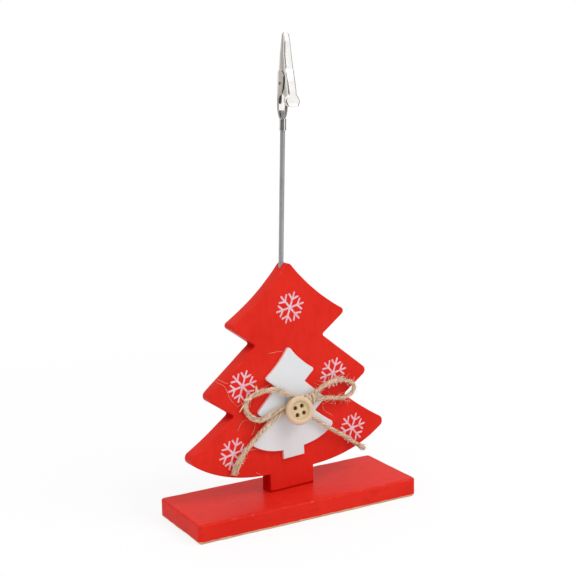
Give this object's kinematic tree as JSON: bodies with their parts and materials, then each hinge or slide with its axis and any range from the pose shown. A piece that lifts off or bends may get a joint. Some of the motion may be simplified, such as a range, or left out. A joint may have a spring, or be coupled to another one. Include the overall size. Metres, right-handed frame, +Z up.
{
  "type": "place card holder",
  "caption": "Wooden place card holder: a red fir tree panel on a plank, with a twine bow and button, and a small spring clip on a rod above it.",
  "frame": {"origin": "middle of the plank's underside", "axes": "+Z up along the tree and rod, +X to the right along the plank, +Y to the back; the decorated face looks along -Y"},
  "size_m": [0.101, 0.0364, 0.1929],
  "materials": {
    "red_paint": "satin red paint on wood, bare at the plank's lowest edge",
    "white_paint": "matt white paint on wood",
    "button_wood": "pale turned wood, satin",
    "jute_twine": "two-ply jute twine with loose fibres",
    "rod_steel": "dull drawn steel",
    "clip_nickel": "nickel plated pressed steel",
    "screw_steel": "zinc plated",
    "spring_steel": "drawn spring wire"
  },
  "bodies": {
    "holder": {"base_plank": "red_paint", "tree_panel": "red_paint", "trunk_screw": "screw_steel", "small_tree": "white_paint", "bow_knot": "jute_twine", "bow_loop_left": "jute_twine", "bow_loop_right": "jute_twine", "bow_tail_left": "jute_twine", "bow_tail_right": "jute_twine", "button": "button_wood", "stem_rod": "rod_steel", "clip_rear_jaw": "clip_nickel", "clip_pivot_pin": "clip_nickel", "clip_spring": "spring_steel"},
    "front_jaw": {"clip_front_jaw": "clip_nickel"}
  },
  "joints": [
    {"name": "jaw_hinge", "type": "hinge", "parent": "holder", "child": "front_jaw", "pos_m": [0.00244, 0.00194, 0.17324], "axis": [0.9966, 0.061, -0.0558], "range_deg": [0, 28], "stiffness_Nm_per_rad": 0.02, "springref_deg": -45.84, "deforming": ["clip_spring"]}
  ]
}
